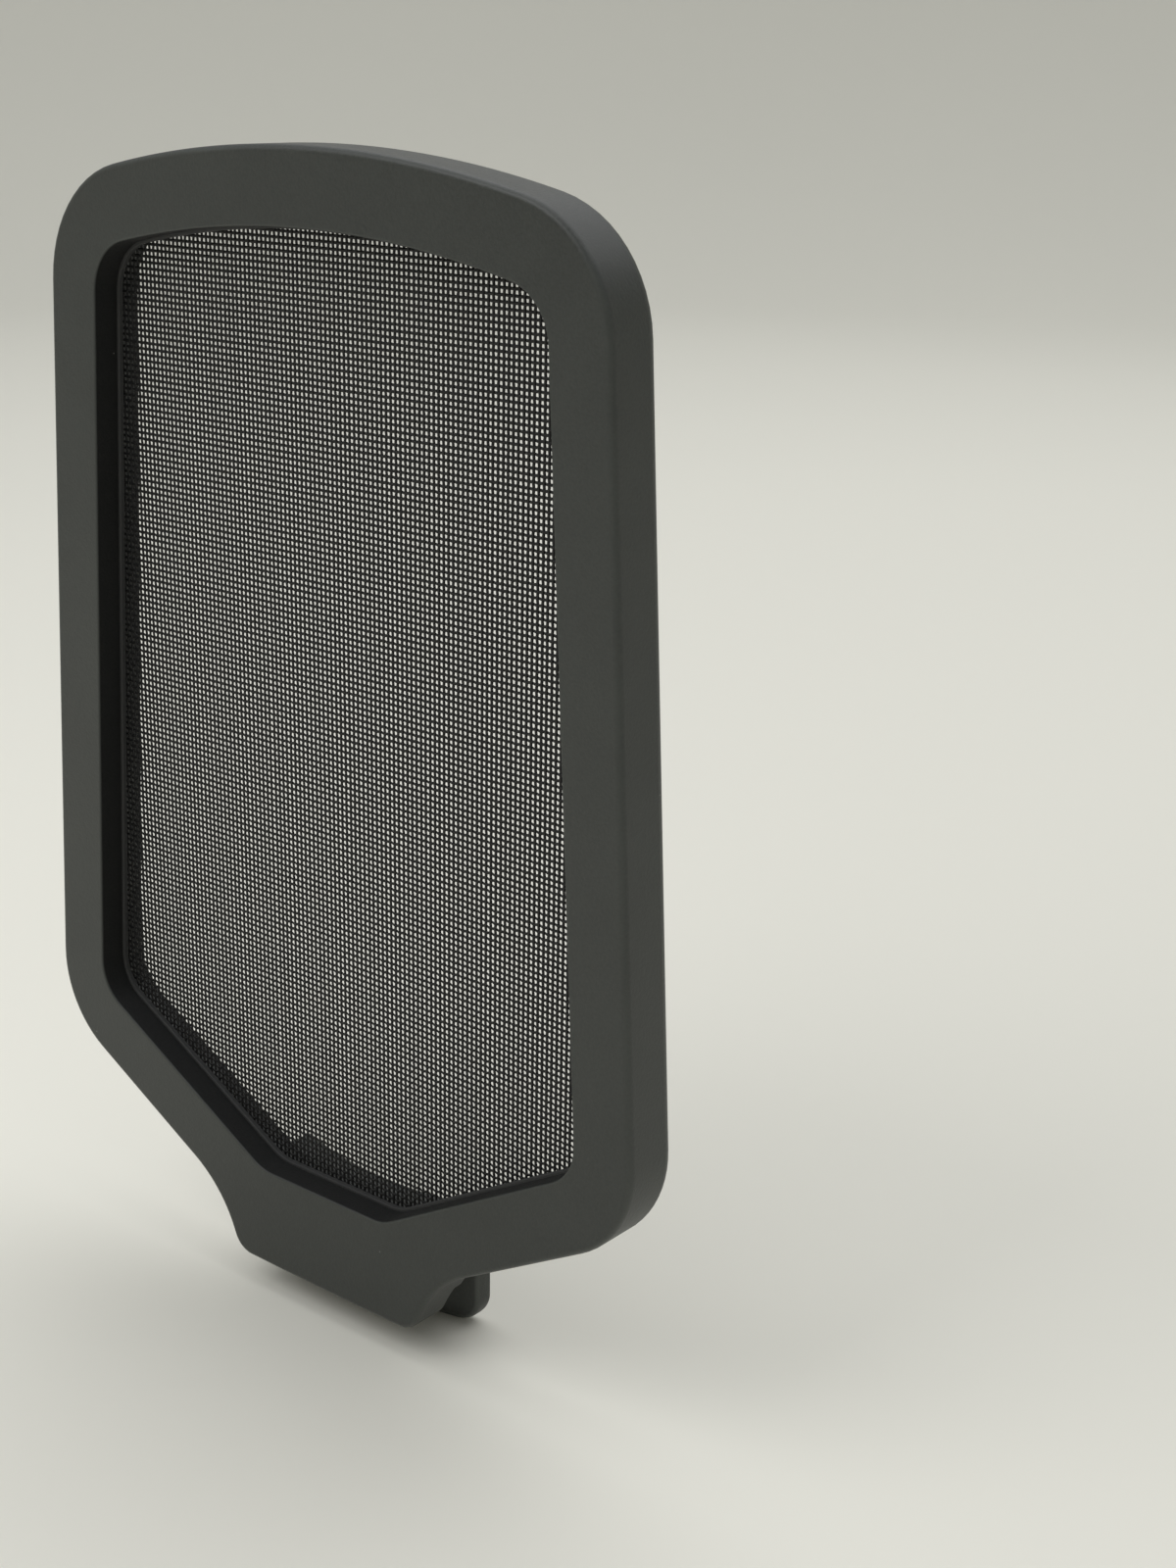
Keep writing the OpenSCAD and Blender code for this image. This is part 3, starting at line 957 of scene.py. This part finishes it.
def screws(name, node, places, head, c):
    """Screws: circles of the radii and depths of the tip and of the head's profile, joined from the tip to
    the head's rim, then the flat top with a tapered cross sunk in it. Each is turned by the golden angle
    from the one before."""
    tip, shank = 0.25 * MM, c.shank / 2
    profile = [(shank - tip, SCREW_TIP_Y), (shank, SCREW_TIP_Y + tip), *head]
    skin = Skin()
    for k, place in enumerate(places):
        rings = [lifted(circle(place, radius), y) for radius, y in profile]
        top = profile[-1][1]
        skin.bridge(rings, [0] * (len(profile) - 3) + [0.4, 1, 0.3])
        skin.fill([circle(place, profile[0][0])], profile[0][1])
        turn = k * math.pi * (3 - math.sqrt(5))
        mouth = cross(place, c.cross_length, c.cross_width, turn)
        deep = cross(place, c.cross_length * CROSS_FOOT[0], c.cross_width * CROSS_FOOT[1], turn)
        skin.fill([circle(place, profile[-1][0]), mouth], top)
        skin.bridge([lifted(mouth, top), lifted(deep, top - c.cross_depth)], [0.6, 0])
        skin.fill([deep], top - c.cross_depth)
    skin.piece(name, "screw_steel", node)


class FILTER_OT_frame_screws(bpy.types.Operator):
    """Countersunk frame screws, flush with the back."""

    bl_idname = "pop_filter.frame_screws"
    bl_label = "Frame screws"

    def execute(self, context):
        _, c, lines = shapes(context.scene)
        rim, r = 0.05 * MM, c.head / 2
        head = [(c.shank / 2, BACK_Y - c.head_height), (r - rim, BACK_Y - 2 * rim), (r, BACK_Y - rim)]
        head += [(r - rim, BACK_Y)]
        screws("countersunk_screws", "frame_screws", lines.screws(c), head, c)
        return {"FINISHED"}


class FILTER_OT_clip_screws(bpy.types.Operator):
    """Flat-headed clip screws, sunk in the clip's back."""

    bl_idname = "pop_filter.clip_screws"
    bl_label = "Clip screws"

    def execute(self, context):
        c = context.scene.filter_clip
        rim, r, top = 0.1 * MM, c.head / 2, CLIP_HEAD_Y
        head = [(c.shank / 2, top - c.flat_height), (r, top - c.flat_height), (r, top - rim)]
        head += [(r - 0.3 * rim, top - 0.3 * rim), (r - rim, top)]
        screws("flat_headed_screws", "clip_screws", clip_places(c), head, c)
        return {"FINISHED"}


def tubes(centres, ring, held):
    """Threads as tubes: centres is threads by crossings by 3, ring the section's points by 3, and held says
    which crossings are in the piece. Quads join each crossing's ring to the next and cap each end."""
    threads, crossings, sides = centres.shape[0], centres.shape[1], len(ring)
    points = (centres[:, :, None] + ring).reshape(-1, 3)
    number = np.arange(threads * crossings * sides).reshape(threads, crossings, sides)
    run = held[:, :-1] & held[:, 1:]
    a, b = number[:, :-1][run], number[:, 1:][run]
    around_a, around_b = np.roll(a, -1, 1), np.roll(b, -1, 1)
    quads = [np.stack([a, around_a, around_b, b], -1).reshape(-1, 4)]
    joined = np.pad(run, ((0, 0), (1, 1)))
    starts, ends = number[joined[:, 1:] & ~joined[:, :-1]], number[joined[:, :-1] & ~joined[:, 1:]]
    for k in range(1, sides - 2, 2):
        quads += [starts[:, [0, k + 2, k + 1, k]], ends[:, [0, k, k + 1, k + 2]]]
    return points, np.vstack(quads)


class FILTER_OT_woven_mesh(bpy.types.Operator):
    """Woven mesh: plain weave of threads with an oval section. Upright thread i and level thread j pass on
    opposite sides of the sheet at their crossing, as i + j is even or odd, and run straight from one
    crossing to the next. It is made in three bands, joined edge to edge."""

    bl_idname = "pop_filter.woven_mesh"
    bl_label = "Woven mesh"

    def execute(self, context):
        w = context.scene.filter_weave
        edge = Outlines(context.scene.filter_frame).opening(w.clamp)
        widest = int(np.argmax(edge[:, 0]))
        across = int(edge[widest, 0] / w.across)
        x = np.arange(-across, across + 1) * w.across
        z = np.arange(edge[-1, 1] + w.along / 2, edge[0, 1], w.along)
        draw = np.random.default_rng(w.seed)
        # A thread strays a little more at each crossing, and the whole thread lies a little to one side
        stray, shift = 0.12, 0.5
        x_at = x[:, None] + w.wander * np.cumsum(draw.normal(0, stray, (len(x), len(z))), 1)
        z_at = z[None, :] + w.wander * np.cumsum(draw.normal(0, stray, (len(x), len(z))), 0)
        x_at -= x_at.mean(1, keepdims=True) - x[:, None] - w.wander * draw.normal(0, shift, (len(x), 1))
        z_at -= z_at.mean(0, keepdims=True) - z[None, :] - w.wander * draw.normal(0, shift, (1, len(z)))
        reach = np.interp(z, edge[::-1, 1], edge[::-1, 0])
        held = np.abs(x)[:, None] <= reach[None, :]
        side = (-1.0) ** np.add.outer(np.arange(len(x)), np.arange(len(z)))
        middle = (MESH_Y + PLATE_Y) / 2
        upright = np.stack([x_at, middle + side * w.upright_wave, z_at], -1)
        level = np.stack([x_at, middle - side * w.level_wave, z_at], -1)
        a = np.linspace(0, 2 * math.pi, w.sides, endpoint=False)
        upright_ring = np.column_stack([w.upright * np.cos(a), w.upright_depth * np.sin(a), 0 * a]) / 2
        level_ring = np.column_stack([0 * a, w.level_depth * np.sin(a), -w.level * np.cos(a)]) / 2

        bands = np.array_split(np.arange(len(z)), 3)
        for name, band in zip(("woven_mesh_foot", "woven_mesh_middle", "woven_mesh_top"), bands):
            lower, upper = band[0], min(band[-1] + 1, len(z) - 1)
            rows = slice(lower, upper + 1)
            level_rows = slice(lower, upper + (upper == len(z) - 1))
            points, quads = tubes(upright[:, rows], upright_ring, held[:, rows])
            level_held = held[:, level_rows].T
            more, more_quads = tubes(level[:, level_rows].transpose(1, 0, 2), level_ring, level_held)
            quads = np.vstack([quads, more_quads + len(points)])
            points = np.vstack([points, more])
            used, numbers = np.unique(quads, return_inverse=True)
            mesh = mesh_of(name, points[used], numbers.reshape(quads.shape))
            mesh.shade_smooth()
            piece = placed(mesh, "mesh", "mesh_panel")
        return {"FINISHED"}


# The stage


class FILTER_OT_stage(bpy.types.Operator):
    """Floor and backdrop: a profile that is flat, then a quarter circle, then upright, turned about the
    filter. Then the camera and the lamps."""

    bl_idname = "pop_filter.stage"
    bl_label = "Studio"

    def execute(self, context):
        scene = context.scene
        p = scene.filter_studio
        floor_z = cad_box[0].z - 0.05 * MM
        bend = np.linspace(0, math.pi / 2, 25)
        radius = np.r_[0, 0.3, p.floor_radius + p.sweep * np.sin(bend), p.floor_radius + p.sweep]
        height = np.r_[0, 0, p.sweep * (1 - np.cos(bend)), p.sweep + p.rise]
        turn = np.linspace(0, 2 * math.pi, 96, endpoint=False)
        about = np.stack([np.cos(turn), np.sin(turn), 0 * turn], -1)
        skin = Skin()
        skin.bridge(radius[:, None, None] * about + (height[:, None, None] + floor_z) * np.array([0, 0, 1]))
        mesh = mesh_of("floor", np.vstack(skin.points), *skin.quads)
        weld(mesh, closed=False)
        floor = bpy.data.objects.new("floor", mesh)
        scene.collection.objects.link(floor)
        nodes = Nodes("pale_floor", Roughness=0.9, Specular_IOR_Level=0.1)
        tone = nodes.noise(0.35, 1.0)
        rgb = tuple(p.pale)
        mesh.materials.append(nodes.shade(Base_Color=nodes.mix(tone, times(rgb, 0.98), times(rgb, 1.02))))

        camera = bpy.data.cameras.new("camera")
        camera.lens, camera.sensor_width = p.lens, 36
        eye = bpy.data.objects.new("camera", camera)
        turned = Matrix.Rotation(p.azimuth, 4, "Z") @ Matrix.Rotation(math.pi / 2 - p.pitch, 4, "X")
        eye.matrix_world = Matrix.Translation(p.eye) @ turned @ Matrix.Rotation(p.roll, 4, "Z")
        camera.clip_start = 0.005
        scene.collection.objects.link(eye)
        scene.camera = eye

        lamp("overhead", p.overhead, 1.1, (-0.05, 0.30, 0.75), (0, 0.10, 0.05))
        lamp("front_light", p.front_light, 0.3, (-0.14, -0.30, 0.35), (-0.14, -0.25, 0))
        world = bpy.data.worlds.new("studio")
        world.use_nodes = True
        ground = world.node_tree.nodes["Background"]
        ground.inputs["Color"].default_value = (0.93, 0.96, 1.0, 1)
        ground.inputs["Strength"].default_value = p.sky
        scene.world = world
        scene.view_settings.view_transform = "Standard"
        return {"FINISHED"}


def lamp(name, watts, size, place, aim):
    """A square soft lamp at a place, turned to the point aim."""
    light = bpy.data.lights.new(name, "AREA")
    light.energy, light.size = watts, size
    made = bpy.data.objects.new(name, light)
    made.visible_camera = False
    away = Vector(place) - Vector(aim)
    made.matrix_world = Matrix.Translation(place) @ away.to_track_quat("Z", "Y").to_matrix().to_4x4()
    bpy.context.scene.collection.objects.link(made)


# The panel, and the run


OPERATORS = [
    FILTER_OT_front_frame,
    FILTER_OT_mesh_ring,
    FILTER_OT_woven_mesh,
    FILTER_OT_rear_frame,
    FILTER_OT_frame_screws,
    FILTER_OT_clip,
    FILTER_OT_clip_screws,
    FILTER_OT_stage,
]


class FILTER_PT_panel(bpy.types.Panel):
    """Buttons and sizes of the pop filter."""

    bl_label = "Pop filter"
    bl_space_type = "VIEW_3D"
    bl_region_type = "UI"
    bl_category = "Pop filter"

    def draw(self, context):
        for made in OPERATORS:
            self.layout.operator(made.bl_idname)
        for key, kind in GROUPS.items():
            self.layout.label(text=kind.__doc__)
            for name in kind.__annotations__:
                self.layout.prop(getattr(context.scene, key), name)


GROUPS = {
    "filter_frame": FrameShape,
    "filter_clip": ClipShape,
    "filter_weave": Weave,
    "filter_finish": Finish,
    "filter_studio": Studio,
}


def register():
    for kind in (*GROUPS.values(), *OPERATORS, FILTER_PT_panel):
        bpy.utils.register_class(kind)
    for key, kind in GROUPS.items():
        setattr(bpy.types.Scene, key, PointerProperty(type=kind))


def unregister():
    for key in GROUPS:
        delattr(bpy.types.Scene, key)
    for kind in (FILTER_PT_panel, *reversed(OPERATORS), *reversed(GROUPS.values())):
        bpy.utils.unregister_class(kind)


def main():
    """Builds every piece and the stage."""
    register()
    for made in OPERATORS:
        getattr(bpy.ops.pop_filter, made.bl_idname.split(".")[1])()


if __name__ == "__main__":
    main()
